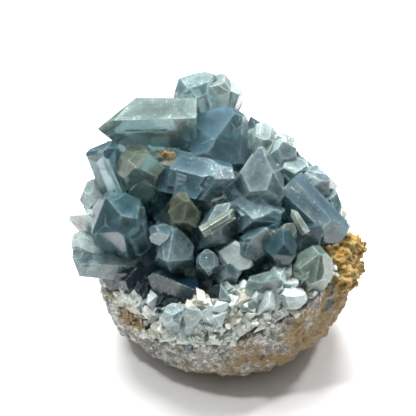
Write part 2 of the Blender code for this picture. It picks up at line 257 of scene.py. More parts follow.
def remeshed(name, bm, voxel):
    mesh = bpy.data.meshes.new(name)
    bm.to_mesh(mesh)
    bm.free()
    obj = bpy.data.objects.new(name, mesh)
    scene.collection.objects.link(obj)
    change = obj.modifiers.new("remesh", "REMESH")
    change.mode = "VOXEL"
    change.voxel_size = voxel * mm
    change.use_smooth_shade = True
    made = evaluated(obj)
    bpy.data.objects.remove(obj)
    return made


def lumpy(at, lumps):
    # soft lumps, each layer by how high and how wide they are
    return sum(high * noise.noise(at / wide) for high, wide in lumps)


def pushed(mesh, height):
    # moves every point along its normal by height(point in mm, normal), in mm
    normals = [vert.normal.copy() for vert in mesh.vertices]
    for vert, normal in zip(mesh.vertices, normals):
        vert.co += normal * height(vert.co / mm, normal) * mm
    mesh.update()


# Crystal shapes

crystalForm = {
    "prismTurn": 37.9,  # degrees, the four side faces turned from the width axis
    "gableLean": 38.0,  # the two end faces across the width
    "roofLean": 50.6,  # the two end faces across the thickness
    "edge": 0.16,  # width of the worn edge between two faces
    "ends": {
        "gable": (0, 0.16, 0),
        "roof": (0.16, 0, 0),
        "point": (0, 0.02, 0),
        "blunt": (0.05, 0.1, 0.12),
        "cut": (0.05, 0.05, 0.26),
    },
    "endUneven": (0.2, 2.2),  # how far each end face may stand from its even place, as a share of it
    "taper": (-0.02, 0.07),
    "chips": 3,  # corners broken off each large crystal
    "chipRise": (0.2, 0.85),
    "chipDepth": (0.02, 0.06),
    "plainThick": (0.6, 0.85),  # thickness of a small crystal, as a share of its width
    "apart": 60,  # how far one crystal's grain is taken from the next one's
    # milk added on the bevelled edge faces: partly worn, frosted edges, partly a painted highlight along each
    # edge
    "edgeWearAndHighlight": 0.1,
    "faceMilk": 0.2,
}

# Smaller crystals grown in line with each large one, as shares of its sizes: they make the steps on its faces
sisterForm = {
    "count": 2,
    "length": (0.6, 0.8),
    "width": (0.35, 0.7),
    "thick": (0.8, 1.1),
    "aside": (1.0, 1.2),
    "back": (0.08, 0.3),
    "reach": 0.8,
}


def leaning(lean, towards):
    lean = math.radians(lean)
    return Vector((0, 0, math.cos(lean))) + math.sin(lean) * Vector(towards)


def prismFaces(size, aside, luck=None):
    # the long faces, each leaning in a little towards the tip
    length, width, thick = size
    turn = math.radians(crystalForm["prismTurn"])
    faces = [(Vector((0, 0, -1)), length)]

    def add(normal, distance):
        lean = luck.uniform(*crystalForm["taper"]) if luck else 0
        towards = (normal + Vector((0, 0, lean))).normalized()
        faces.append((towards, distance + normal.dot(aside) - lean * width / 3))

    for side in (-1, 1):
        for up in (-1, 1):
            add(Vector((side * math.cos(turn), up * math.sin(turn), 0)), math.cos(turn) * width / 2)
        if thick < width:
            add(Vector((0, side, 0)), thick / 2)
    return faces


def endFaces(kind, width, thick, luck):
    gable, roof, flat = crystalForm["ends"][kind]
    faces = [(Vector((0, 0, 1)), -flat * width)] if flat else []
    for side in (-1, 1):
        across = gable * width * luck.uniform(*crystalForm["endUneven"])
        faces.append((leaning(crystalForm["gableLean"], (side, 0, 0)), across))
        through = roof * thick * luck.uniform(*crystalForm["endUneven"])
        faces.append((leaning(crystalForm["roofLean"], (0, side, 0)), through))
    return faces


def cutAway(bm, normal, distance):
    whole = bm.verts[:] + bm.edges[:] + bm.faces[:]
    on = normal * distance
    cut = bmesh.ops.bisect_plane(bm, geom=whole, plane_co=on, plane_no=normal, clear_outer=True)
    rim = [e for e in cut["geom_cut"] if isinstance(e, bmesh.types.BMEdge)]
    if rim:
        bmesh.ops.contextual_create(bm, geom=rim)


def cutBlock(faces, reach, edge, chips, luck):
    # a block cut by each face in turn, in the crystal's own millimetres, its tip at the origin
    bm = bmesh.new()
    bmesh.ops.create_cube(bm, size=6 * reach)
    for normal, distance in faces:
        cutAway(bm, normal, distance)
    for chip in range(chips):
        rise = luck.uniform(*crystalForm["chipRise"])
        angle = luck.uniform(0, 2 * math.pi)
        normal = polar(angle, math.sqrt(1 - rise**2), rise)
        far = max(vert.co.dot(normal) for vert in bm.verts)
        cutAway(bm, normal, far - luck.uniform(*crystalForm["chipDepth"]) * reach)
    bmesh.ops.remove_doubles(bm, verts=bm.verts, dist=0.02)
    worn = bm.faces.layers.float.new("worn")
    made = bmesh.ops.bevel(
        bm, geom=bm.edges[:], offset=edge, segments=1, affect="EDGES", clamp_overlap=True
    )
    for face in made["faces"]:
        face[worn] = 1
    bmesh.ops.remove_doubles(bm, verts=bm.verts, dist=0.01)
    faceOut(bm)
    return bm


def turnedTo(tip, points, spin):
    # the crystal's length along points, its width turned by spin about it
    out = Vector(points).normalized()
    across = Vector((0, 0, 1)).cross(out)
    across = across.normalized() if across.length > 0.05 else Vector((1, 0, 0))
    axes = Matrix((across, out.cross(across), out)).transposed().to_4x4()
    return Matrix.Translation(Vector(tip)) @ axes @ Matrix.Rotation(math.radians(spin), 4, "Z")


def stamped(bm, luck, tone, milk):
    # writes where each corner is in the crystal's own millimetres, how near its face's edge, tone and milk
    grown = bm.loops.layers.float_vector.new("grown")
    rims = bm.loops.layers.float.new("rim")
    tones = bm.faces.layers.float.new("tone")
    milks = bm.faces.layers.float.new("milk")
    apart = crystalForm["apart"]
    away = Vector([luck.uniform(-apart, apart) for axis in range(3)])
    worn = bm.faces.layers.float.get("worn")
    uneven = crystalForm["faceMilk"]
    for face in bm.faces:
        face[tones] = tone
        # bevelled edge faces are made paler: partly wear, partly a painted highlight
        more = crystalForm["edgeWearAndHighlight"] if worn and face[worn] else luck.uniform(-uneven, uneven)
        face[milks] = milk + more
    centres = set()
    if worn:
        centres.update(bmesh.ops.poke(bm, faces=[face for face in bm.faces if not face[worn]])["verts"])
    for face in bm.faces:
        for loop in face.loops:
            loop[grown] = loop.vert.co + away
            loop[rims] = 1 if worn and loop.vert not in centres else 0
    return bm


def crystal(tip, points, size, spin, faces, luck, tone, milk, chips=1):
    bm = cutBlock(faces, max(size), crystalForm["edge"], chips, luck)
    stamped(bm, luck, tone, milk)
    bm.transform(place @ turnedTo(tip, points, spin))
    return bm


def sisters(tip, points, size, spin, end, aside, luck, tone, milk):
    # smaller crystals in line with a large one, each standing a little out of one of its sides
    length, width, thick = size
    for count in range(sisterForm["count"]):
        share = luck.uniform(*sisterForm["width"])
        smallLength = length * luck.uniform(*sisterForm["length"])
        small = (smallLength, width * share, thick * share * luck.uniform(*sisterForm["thick"]))
        angle = luck.uniform(0, 2 * math.pi)
        out = Vector((math.cos(angle) * (width - small[1]) / 2, math.sin(angle) * (thick - small[2]) / 2, 0))
        out *= luck.uniform(*sisterForm["aside"])
        faces = prismFaces(small, Vector((*aside, 0)) + out, luck)
        for normal, distance in endFaces(end, small[1], small[2], luck):
            back = luck.uniform(*sisterForm["back"]) * width
            faces.append((normal, distance - back + normal.dot(out) * sisterForm["reach"]))
        yield crystal(tip, points, size, spin, faces, luck, tone, milk)


# Large crystals: tip, where it points, (length, width, thickness), spin, end, how far aside from the tip
# the body stands (across, up), tone and milk. The tones go from deep blue at 0 over blue-grey, violet-grey
# and green-grey to smoky at 1
largeCrystals = {
    "crown": ((-11, 31, 101), (-0.25, 0.1, 1), (38, 18, 15), 125, "cut", (0, -1), 0.3, 0.35),
    "crownRight": ((-1, 32, 100), (0.1, 0.1, 1), (36, 16, 13), 80, "cut", (0, 0), 0.7, 0.5),
    "crownKnob": ((6, 32, 95), (0.3, 0, 1), (26, 10, 9), 20, "cut", (0, -1), 0.85, 0.7),
    "table": ((-44, 18, 83), (-1, 0, 0), (36, 20, 17), 35, "roof", (2, 3), 0.68, 0.1),
    "keystone": ((1, 8, 89), (0.1, -0.6, 0.8), (36, 28, 24), -42, "gable", (0, 0), 0.45, 0.0),
    "fin": ((-44, 9, 84), (-0.3, 0.2, 0.9), (34, 15, 10), -76, "blunt", (0, 0), 0.35, -0.1),
    "underTable": ((-38, 11, 81), (-0.8, -0.5, 0.3), (30, 20, 16), -20, "roof", (0, 0), 0.6, 0.2),
    "diamond": ((-30, -4, 83), (-0.2, -0.75, 0.6), (30, 20, 19), 15, "point", (-1, -2), 0.9, -0.4),
    "knot": ((-19, 4, 83), (-0.2, -0.5, 0.8), (14, 8, 6), 0, "point", (0, -1), 1.0, 0.4),
    "wedge": ((6, -6, 78), (0.9, -0.5, 0.1), (30, 20, 15), 10, "point", (-1, -3), 0.4, 0.15),
    "mirror": ((18, -4, 83), (0.3, -0.4, 0.9), (26, 22, 18), 80, "roof", (-1, -2), 0.4, 0.6),
    "slab": ((22, -16, 66), (0.6, -0.8, -0.1), (30, 18, 13), 20, "point", (-3, -3), 0.35, 0.2),
    "amber": ((20, 14, 79), (0.2, -0.6, 0.8), (24, 16, 13), 50, "roof", (-2, -1), 0.9, 0.4),
    "shoulderHigh": ((18, 20, 85), (0.3, 0.2, 0.9), (20, 10, 8), 20, "point", (-1, 0), 0.3, 0.8),
    "shoulder": ((31, 8, 75), (0.6, -0.4, 0.7), (20, 12, 9), -25, "blunt", (0, 0), 0.5, 0.6),
    "outerRight": ((41, 4, 70), (0.6, -0.5, 0.7), (26, 17, 14), 110, "point", (0, -1), 0.5, 0.5),
    "edgeRight": ((45, -1, 63), (0.7, -0.4, 0.6), (20, 14, 8), 70, "roof", (-1, -2), 0.3, 0.5),
    "longRight": ((45, -12, 55), (0.7, -0.5, -0.5), (28, 14, 12), 35, "roof", (-1, 0), 0.5, 0.2),
    "tileHigh": ((26, -12, 69), (-0.5, 0.5, 0.7), (10, 7, 3), 55, "roof", (0, 0), 0.9, 0.5),
    "tileLow": ((27, -15, 65), (0.5, 0.5, 0.6), (10, 7, 3), 30, "gable", (0, 0), 0.9, 0.5),
    "darkTile": ((21, -9, 68), (0.2, -0.7, 0.7), (14, 9, 7), 50, "blunt", (0, -1), 0.1, 0.1),
    "smoky": ((-11, -14, 74), (0.2, -0.5, 0.8), (22, 14, 12), 100, "point", (-1, 0), 1.0, 0.0),
    "sliver": ((0, -10, 72), (0.4, -0.6, 0.7), (14, 7, 4), 0, "roof", (1, 0), 0.9, 0.6),
    "stripe": ((3, -17, 72), (0.4, -0.6, 0.7), (24, 17, 13), 35, "roof", (-2, -3), 0.6, 0.2),
    "funnel": ((-39, -14, 74), (-0.1, -0.4, 0.9), (34, 22, 20), 50, "gable", (0, -2), 0.2, 0.1),
    "prow": ((-53, -21, 51), (-0.9, -0.3, 0.3), (30, 12, 10), -40, "roof", (-2, -3), 0.3, 0.35),
    "paleLeft": ((-48, 2, 69), (-0.4, -0.3, 0.9), (22, 13, 10), -60, "blunt", (1, 0), 0.3, 0.8),
    "paleLeftLow": ((-51, -8, 63), (-0.7, -0.3, 0.6), (22, 15, 10), 40, "roof", (0, -1), 0.3, 0.8),
    "paleLeftFoot": ((-53, -13, 58), (-0.8, -0.2, 0.6), (20, 10, 8), -50, "blunt", (2, 0), 0.4, 0.8),
    "frosted": ((-17, -22, 62), (-0.1, -0.5, 0.85), (22, 16, 14), 90, "roof", (0, 0), 0.55, 0.35),
    "frostedHigh": ((-21, -18, 63), (-0.2, -0.6, 0.7), (16, 10, 8), -10, "roof", (-1, 0), 0.5, 0.4),
    "block": ((6, -25, 58), (0.1, -0.8, 0.6), (22, 14, 12), -25, "cut", (1, -1), 0.3, 1.1),
    "blockLow": ((3, -28, 54), (-0.1, -0.8, 0.6), (16, 11, 8), 15, "gable", (-1, -2), 0.2, 0.2),
    "lattice": ((-4, -27, 58), (0, -0.6, 0.8), (18, 9, 8), 90, "blunt", (0, 0), 0.4, 0.4),
    "inTheMiddle": ((13, -21, 64), (-0.1, -0.6, 0.8), (22, 15, 10), 40, "roof", (-1, -1), 0.25, 0.3),
    "facet": ((19, -17, 63), (-0.2, -0.5, 0.8), (14, 8, 6), -5, "roof", (1, 0), 0.9, 0.6),
    "deepRight": ((23, -24, 63), (0, -0.5, 0.9), (24, 14, 12), 0, "gable", (0, 0), 0.15, 0.0),
    "deepFarRight": ((32, -18, 65), (0, -0.4, 0.9), (26, 15, 12), 15, "roof", (-1, 0), 0.1, 0.0),
    "lowRight": ((16, -35, 54), (-0.1, -0.7, 0.7), (18, 15, 10), 20, "roof", (-1, -1), 0.7, 0.1),
    "clear": ((36, -28, 61), (0.2, -0.4, 0.9), (20, 16, 14), 50, "point", (-1, 0), 0.8, 0.3),
    "white": ((28, -38, 50), (0.3, -0.6, 0.7), (14, 11, 9), -20, "roof", (0, 1), 0.8, 1.0),
    "milky": ((-15, -41, 45), (0, -0.5, 0.85), (12, 9, 8), -60, "gable", (-1, -1), 0.3, 0.6),
    "milkyRight": ((-10, -40, 46), (0.1, -0.5, 0.85), (12, 8, 7), -20, "roof", (1, -1), 0.3, 0.8),
    "deepBlue": ((-15, -29, 49), (-0.1, -0.5, 0.8), (14, 22, 15), -15, "roof", (-1, -1), 0.0, -0.4),
    "underTableLeft": ((-40, 14, 80), (-0.6, 0.1, 0.7), (26, 13, 11), 40, "roof", (0, 0), 0.4, 0.2),
    "stripeEdge": ((6, -19, 73), (0.86, 0.31, 0.4), (14, 4, 3), 48, "roof", (0, 0), 0.95, 0.3),
    "shoulderFar": ((24, 20, 80), (0.5, 0.1, 0.8), (18, 10, 8), 60, "roof", (0, 0), 0.3, 0.9),
    "shoulderNear": ((27, 13, 79), (0.6, -0.2, 0.8), (20, 13, 10), 20, "gable", (0, 0), 0.4, 0.7),
    # painted shade: these three crystals are near-black (tone 0, milk -0.4) to make the hollow under the
    # overhanging crystals dark
    "hollowFar": ((-38, -18, 44), (-0.3, -0.5, 0.8), (12, 15, 10), 20, "roof", (0, 0), 0.0, -0.4),
    "hollow": ((-32, -20, 45), (-0.2, -0.5, 0.8), (14, 18, 12), -25, "gable", (0, 0), 0.0, -0.4),
    "hollowNear": ((-24, -18, 46), (0, -0.5, 0.8), (14, 16, 12), 40, "roof", (0, 0), 0.0, -0.4),
}

# The rock's outline, as in the solids: eight values go round it, every 45 degrees, from the right by the back
geode = {
    "radius": (51.0, 49.0, 45.0, 46.5, 46.5, 42.0, 41.5, 46.0),
    "rim": (46.0, 56.0, 65.0, 56.0, 36.0, 25.0, 29.0, 42.0),
    "widestLevel": 33.0,
    "aboveReach": 62.0,
    "dishCentre": 41.0,
}
# The mass that the crystals stand on
mound = {
    "height": 55.0,
    "rise": 0.75,
    "back": 30.0,
    "fall": 0.0085,
    "reach": 0.74,
    "steps": 16,
    "rings": 3,
    "overDish": 0.4,
    "swell": (2, 7),  # how high and how wide its lumps are
    "thinnest": 1.5,
    "squareness": 6,
    "lip": 0.5,
    "tone": 0.1,
    "milk": 0.2,
}
spread = {
    "uneven": 12,  # degrees that a crystal may stand from its even place
    "backOf": 6,
    "rise": 38,  # they point up in the middle and out at the rim
    "riseLost": 29,
    "overDish": 1.5,
    "tone": (0, 0.8),
    "milk": 0.5,
    "milkFrom": 45,
    "milkOver": 40,
    "blunt": 0.12,
}
fill = {
    "seed": 7,
    "wander": 0,
    "count": 29,
    "reach": 0.84,
    "sink": 7.0,
    "length": (10.0, 15.0),
    "width": (9.0, 13.0),
    "root": 6.0,
    "shorten": 0.0,
}
between = {
    "seed": 8,
    "wander": 0.25,
    "count": 95,
    "reach": 0.8,
    "sink": 7.0,
    "length": (10.0, 17.0),
    "width": (6.0, 10.0),
    "root": 5.5,
    "shorten": 0.4,
}
apron = {
    "from": 192.0,
    "to": 338.0,
    "count": 56,
    "share": (0.68, 0.92),
    "hollow": (203.0, 263.0),  # between these degrees they keep to the rim, and lower
    "hollowShare": (0.86, 0.93),
    "hollowDrop": 2.5,
    "hollowWidth": 0.75,
    "inside": 0.62,  # how much of its width each keeps inside the rim
    "lean": 0.45,  # how far each points away from the middle, at leanAt from it
    "leanAt": 40,
    "length": (6.5, 9.0),
    "width": (5.0, 9.0),
    "crest": (5.0, 5.5, 6.0, 7.5, 10.0, 11.0, 9.5, 6.0),  # how thick the pale crust is, every 45 degrees
    "crestMost": 0.9,
    "crestSlope": 0.12,
    "proud": (1.0, 3.5),
    "wander": 0.25,
    "blunt": 0.4,
    "uneven": 0.8,
    "overDish": 1,
    "tone": (0.2, 0.8),
    "milk": (0.7, 1.45),
    "seed": 9,
}
goldenAngle = 137.5


def roundTheRim(values, angle):
    at = angle / (2 * math.pi) * len(values)
    whole = math.floor(at)
    t = at - whole
    a, b, c, d = (values[(whole + k) % len(values)] for k in (-1, 0, 1, 2))
    return b + 0.5 * t * (c - a + t * (2 * a - 5 * b + 4 * c - d + t * (3 * (b - c) + d - a)))


def rimRadius(angle):
    above = (roundTheRim(geode["rim"], angle) - geode["widestLevel"]) / geode["aboveReach"]
    return roundTheRim(geode["radius"], angle) * math.sqrt(1 - max(above, 0) ** 2)


def dishHeight(angle, share):
    return geode["dishCentre"] + (roundTheRim(geode["rim"], angle) - geode["dishCentre"]) * share**2


def polar(angle, radius, height):
    return Vector((radius * math.cos(angle), radius * math.sin(angle), height))


def moundHeight(x, y):
    return mound["height"] + mound["rise"] * min(y, mound["back"]) - mound["fall"] * x * x


def moundBody():
    # the mass between the dish and the crystals
    loops = []
    for ring in range(1, mound["rings"] + 1):
        share = mound["reach"] * ring / mound["rings"]
        low = []
        high = []
        for step in range(mound["steps"]):
            angle = 2 * math.pi * step / mound["steps"]
            at = polar(angle, share * rimRadius(angle), 0)
            floor = dishHeight(angle, share) + mound["overDish"]
            swell, size = mound["swell"]
            thick = max(moundHeight(at.x, at.y) + swell * noise.noise(at / size) - floor, mound["thinnest"])
            rise = thick * (1 - (ring / mound["rings"]) ** mound["squareness"])
            low.append(at + Vector((0, 0, floor)))
            high.append(at + Vector((0, 0, floor + rise + mound["lip"])))
        loops.insert(0, high)
        loops.append(low)
    bm = bmesh.new()
    rows = [[bm.verts.new(p) for p in loop] for loop in loops]
    for lower, upper in zip(rows, rows[1:]):
        for i, vert in enumerate(lower):
            j = (i + 1) % len(lower)
            bm.faces.new((vert, lower[j], upper[j], upper[i]))
    bm.faces.new(rows[0])
    bm.faces.new(rows[-1])
    bmesh.ops.triangulate(bm, faces=bm.faces)
    faceOut(bm)
    stamped(bm, random.Random(1), mound["tone"], mound["milk"])
    bm.transform(place)
    return bm


def plainFaces(luck, length, width, blunt):
    # faces of a short crystal with one roof at its end
    size = (length, width, width * luck.uniform(*crystalForm["plainThick"]))
    faces = [f for f in prismFaces(size, Vector()) if abs(f[0].y) < 0.9]
    lean, across = luck.choice(((crystalForm["gableLean"], True), (crystalForm["roofLean"], False)))
    for side in (-1, 1):
        towards = (side, 0, 0) if across else (0, side, 0)
        faces.append((leaning(lean, towards), luck.uniform(0, blunt) * width))
    return faces, size


def spreadCrystals(form):
    # crystals spread evenly over the mound, pointing out of it
    luck = random.Random(form["seed"])
    for count in range(form["count"]):
        angle = math.radians(goldenAngle * count + luck.uniform(-spread["uneven"], spread["uneven"]))
        share = form["reach"] * math.sqrt((count + 0.5) / form["count"])
        base = polar(angle, share * rimRadius(angle), 0)
        lowest = dishHeight(angle, share) + spread["overDish"]
        base.z = max(moundHeight(base.x, base.y), lowest) - form["sink"] * share**2
        rise = spread["rise"] - spread["riseLost"] * share**2
        out = Vector((base.x, base.y - spread["backOf"], rise)).normalized()
        length = luck.uniform(*form["length"])
        width = luck.uniform(*form["width"])
        faces, size = plainFaces(luck, length, width, spread["blunt"])
        spin = luck.uniform(0, 180)
        out = (out + form["wander"] * Vector([luck.gauss(0, 1) for axis in range(3)])).normalized()
        tip = base + (length * (1 - form["shorten"] * share**2) - form["root"]) * out
        tone = luck.uniform(*spread["tone"])
        milk = spread["milk"] * (base.z - spread["milkFrom"]) / spread["milkOver"]
        yield crystal(tip, out, size, spin, faces, luck, tone, milk)


def apronCrystals():
    # paler crystals along the front of the dish
    luck = random.Random(apron["seed"])
    start, end = apron["hollow"]
    for count in range(apron["count"]):
        turn = (count + luck.uniform(0, apron["uneven"])) / apron["count"]
        angle = math.radians(apron["from"] + turn * (apron["to"] - apron["from"]))
        inHollow = start < math.degrees(angle) < end
        width = luck.uniform(*apron["width"]) * (apron["hollowWidth"] if inHollow else 1)
        share = luck.uniform(*apron["hollowShare" if inHollow else "share"])
        share = min(share, 1 - apron["inside"] * width / rimRadius(angle))
        base = polar(angle, share * rimRadius(angle), dishHeight(angle, share) + apron["overDish"])
        lean = Vector((apron["lean"] * base.x / apron["leanAt"], apron["lean"] * base.y / apron["leanAt"], 1))
        out = (lean + apron["wander"] * Vector((luck.gauss(0, 1), luck.gauss(0, 1), 0))).normalized()
        length = luck.uniform(*apron["length"])
        faces, size = plainFaces(luck, length, width, apron["blunt"])
        crest = min(apron["crestMost"], (1 - share) / apron["crestSlope"])
        base.z += roundTheRim(apron["crest"], angle) * crest
        tip = base + (luck.uniform(*apron["proud"]) - apron["hollowDrop"] * inHollow) * out
        spin = luck.uniform(0, 180)
        tone = luck.uniform(*apron["tone"])
        yield crystal(tip, out, size, spin, faces, luck, tone, luck.uniform(*apron["milk"]))


def celestiteShapes():
    yield moundBody()
    for name, (tip, points, size, spin, end, aside, tone, milk) in largeCrystals.items():
        luck = random.Random(name)
        faces = prismFaces(size, Vector((*aside, 0)), luck) + endFaces(end, size[1], size[2], luck)
        yield crystal(tip, points, size, spin, faces, luck, tone, milk, chips=crystalForm["chips"])
        yield from sisters(tip, points, size, spin, end, aside, luck, tone, milk)
    yield from spreadCrystals(fill)
    yield from spreadCrystals(between)
    yield from apronCrystals()


# Finishes

celestiteLook = {
    "ior": 1.62,
    "absorb": (0.30, 0.60, 0.64),
    "density": 80.0,
    "deep": (  # the body's colour, by tone
        (0.0, (0.012, 0.04, 0.06)),
        (0.25, (0.065, 0.15, 0.18)),
        (0.5, (0.085, 0.17, 0.22)),
        (0.75, (0.16, 0.235, 0.20)),
        (1.0, (0.09, 0.11, 0.065)),
    ),
    "toneDrift": 0.3,
    "cloud": (0.38, 0.47, 0.445),
    "milky": (0.58, 0.68, 0.69),
    "pale": (0.55, 0.63, 0.60),  # cracks and specks
    "sizes": {
        "clouds": 7.0,
        "veils": 4.0,
        "mottle": 1.0,
        "cracks": 14.0,
        "crackPatches": 8.0,
        "specks": 1.3,
        "lines": 0.8,
        "fine": 1.6,
    },
    "bend": 4,  # how far the cracks swerve
    "stretch": 0.06,  # growth lines: grain along the crystal against across it
    "bumps": {"lines": (0.1, 0.5), "fine": (0.16, 0.45), "cracks": (0.15, 0.6)},  # depth and strength
    "polish": 0.08,
    "dullness": 0.25,
    "coat": 0.4,
    "coatRoughness": 0.03,
    "paintedMiddleShade": 0.55,  # painted shade: how much of its colour a face keeps in its middle, where the crystal is deepest; middles are painted darker and edges lighter, standing in for light passing through more crystal in the middle
    "glass": (0.86, 0.95, 0.94),
    "clearest": 0.5,  # share of the body's own colour on the clearest faces
    "cloudiest": 0.85,
    "rust": (0.34, 0.23, 0.08),
    "stains": (
        (-19, 2, 82, 3.2),
        (26, -27, 46, 5.0),
        (-52, -11, 60, 2.6),
        (-34, -28, 31, 4.0),
        (30, -30, 45, 3.5),
    ),
    "stainStrength": 0.8,
}


def makeCelestite():
    look = Look("celestite")
    at = look.attribute("grown", "Vector")
    milk = look.attribute("milk")
    rim = look.attribute("rim")
    sizes = celestiteLook["sizes"]
    paintedMiddleShade = celestiteLook["paintedMiddleShade"]
    clearest = celestiteLook["clearest"]
    clouds = look.grain(at, sizes["clouds"], 4, 0.55, 0.8)
    veils = look.window(look.grain(at, sizes["veils"], 7, 0.75, 2.5), 0.5, 0.72)
    drift = (clouds - 0.5) * celestiteLook["toneDrift"]
    tone = look.ramp(look.attribute("tone") + drift, *celestiteLook["deep"])
    # clouds, milk and veils make a face cloudier and paler; rim**5 adds a painted highlight along each face's
    # edges
    cloudAndEdgeLight = look.window(clouds * 0.6 + milk * 0.6 + rim**5 * 0.16 + veils * 0.3, 0.34, 1.2)
    mottle = look.grain(at, sizes["mottle"], 6, 0.8)
    # painted shade and light: each face's middle is darkened and its edges kept light, standing in for the
    # light passing through the crystal
    deep = tone * (paintedMiddleShade + (1 - paintedMiddleShade) * rim) * (0.5 + mottle)
    colour = look.mix(cloudAndEdgeLight, deep, celestiteLook["cloud"])
    milky = look.window(milk + (clouds - 0.5) * 0.8 + (mottle - 0.5) * 1.6, 0.75, 1.5)
    colour = look.mix(milky, colour, celestiteLook["milky"])
    swerve = look.node("ShaderNodeTexNoise", None, {"Vector": at, "Scale": 0.1, "Detail": 5}, "Color")
    bent = at + swerve * celestiteLook["bend"]
    cracks = 1 - look.window(look.cells(bent, sizes["cracks"], "DISTANCE_TO_EDGE"), 0.0, 0.02)
    cracks = cracks * look.window(look.grain(at + 50, sizes["crackPatches"], 2), 0.5, 0.62)
    specks = look.window(look.grain(at, sizes["specks"], 4, 0.7), 0.66, 0.72)
    colour = look.mix(cracks * 0.25 + specks * 0.5, colour, celestiteLook["pale"])
    for spot in celestiteLook["stains"]:
        stained = look.near(look.places(), spot) * celestiteLook["stainStrength"]
        colour = look.mix(stained, colour, celestiteLook["rust"])
    stretch = (1, 1, celestiteLook["stretch"])
    lengthways = look.node("ShaderNodeVectorMath", {"operation": "MULTIPLY"}, {0: at, 1: stretch})
    lines = look.grain(lengthways, sizes["lines"], 4, 0.65)
    fine = look.grain(at, sizes["fine"], 6, 0.7)
    bump = look.bump(lines, *celestiteLook["bumps"]["lines"])
    bump = look.bump(fine, *celestiteLook["bumps"]["fine"], bump)
    bump = look.bump(cracks, *celestiteLook["bumps"]["cracks"], bump)
    dull = look.window(lines * 0.5 + veils * 0.5, 0.35, 0.8)
    roughness = celestiteLook["polish"] + dull * celestiteLook["dullness"]
    coat = look.window(look.attribute("tone"), 0.0, 0.15) * celestiteLook["coat"]
    glass = look.principled(
        Base_Color=(*celestiteLook["glass"], 1),
        Roughness=roughness,
        IOR=celestiteLook["ior"],
        Transmission_Weight=1.0,
        Coat_Weight=coat,
        Coat_Roughness=celestiteLook["coatRoughness"],
        Normal=bump,
    )
    body = look.principled(
        Base_Color=colour,
        Roughness=roughness + 0.1,
        IOR=celestiteLook["ior"],
        Coat_Weight=coat,
        Coat_Roughness=celestiteLook["coatRoughness"],
        Normal=bump,
    )
    share = clearest + cloudAndEdgeLight * (celestiteLook["cloudiest"] - clearest)
    shader = look.node("ShaderNodeMixShader", None, {0: share + cracks * 0.2, 1: glass, 2: body})
    absorb = {"Color": (*celestiteLook["absorb"], 1), "Density": celestiteLook["density"]}
    return look.finish(shader, look.node("ShaderNodeVolumeAbsorption", None, absorb))


print("crystals")
addMesh("celestite", fused("celestite", celestiteShapes()), "crystals", makeCelestite())


# Druse

druseForm = {
    "count": 1800,
    "length": (1.6, 8.5),
    "atRim": 4.2,  # length of the longest ones on the rim
    "inner": (0.6, 0.6, 0.6, 0.6, 0.8, 0.9, 0.74, 0.6),  # share of the rim's radius where the pale ones begin; inside it the band and crystals are painted near-black as shade in the hollow
    "from": 0.6,
    "under": -0.7,  # how far under the band's edge they go
    "shapes": 12,
    "shapeLength": 2.2,
    "shapeWidth": (1.0, 1.8),
    "shapeEdge": 0.05,
    "shapeChips": 2,
    "shapeBlunt": 0.3,
    "sizeBias": 1.3,  # over 1 makes small ones commoner
    "lean": 0.5,
    "up": (0.3, 0.4),
    "proud": 0.55,  # share of its length that each stands out
    "bandTone": 0.12,
    "bandEdge": 0.06,
    "toneMost": 0.85,
    "paintedShadeTone": 1,  # painted shade in the hollow between the large crystals
    "seed": 21,
    "stains": ((-33, -27, 28, 6.0), (22, -33, 36, 5.0), (-42, -20, 33, 3.0), (30, -28, 40, 4.0)),
}


def surfacePoints(obj, count, luck, keep):
    # points spread evenly over an object's faces, with the faces' normals, where keep(point, normal) says so
    mesh = obj.data
    mesh.calc_loop_triangles()
    triangles = list(mesh.loop_triangles)
    areas = [triangle.area for triangle in triangles]
    found = []
    while len(found) < count:
        for triangle in luck.choices(triangles, areas, k=count):
            a, b, c = (mesh.vertices[i].co for i in triangle.vertices)
            u, v = sorted((luck.random(), luck.random()))
            at = (a * u + b * (v - u) + c * (1 - v)) / mm
            if keep(at, triangle.normal):
                found.append((at, triangle.normal.copy()))
    return found[:count]


def makeDruse():
    look = Look("druse")
    at = look.places()
    colour = look.ramp(
        look.attribute("tone"),
        (0.0, (0.95, 0.95, 0.88)),
        (0.25, (0.80, 0.85, 0.79)),
        (0.55, (0.70, 0.79, 0.74)),
        (0.8, (0.82, 0.78, 0.62)),
        # the last stop is painted shade, for the band and crystals inside the pale ring
        (0.95, (0.02, 0.04, 0.05)),
    )
    paleOnly = look.window(look.attribute("tone"), 0.95, 0.9)
    stain = look.window(look.grain(at, 14.0, 5, 0.65), 0.6, 0.72) * paleOnly
    colour = look.mix(stain * 0.7, colour, (0.50, 0.38, 0.20))
    for spot in druseForm["stains"]:
        colour = look.mix(look.near(at, spot) * 0.85, colour, (0.42, 0.27, 0.08))
    shader = look.principled(
        Base_Color=colour,
        Roughness=0.15 + look.grain(at, 1.2, 3) * 0.3,
        IOR=celestiteLook["ior"],
        Transmission_Weight=0.45,
        Normal=look.bump(look.grain(at, 0.5, 3), 0.08, 0.4),
    )
    return look.finish(shader)


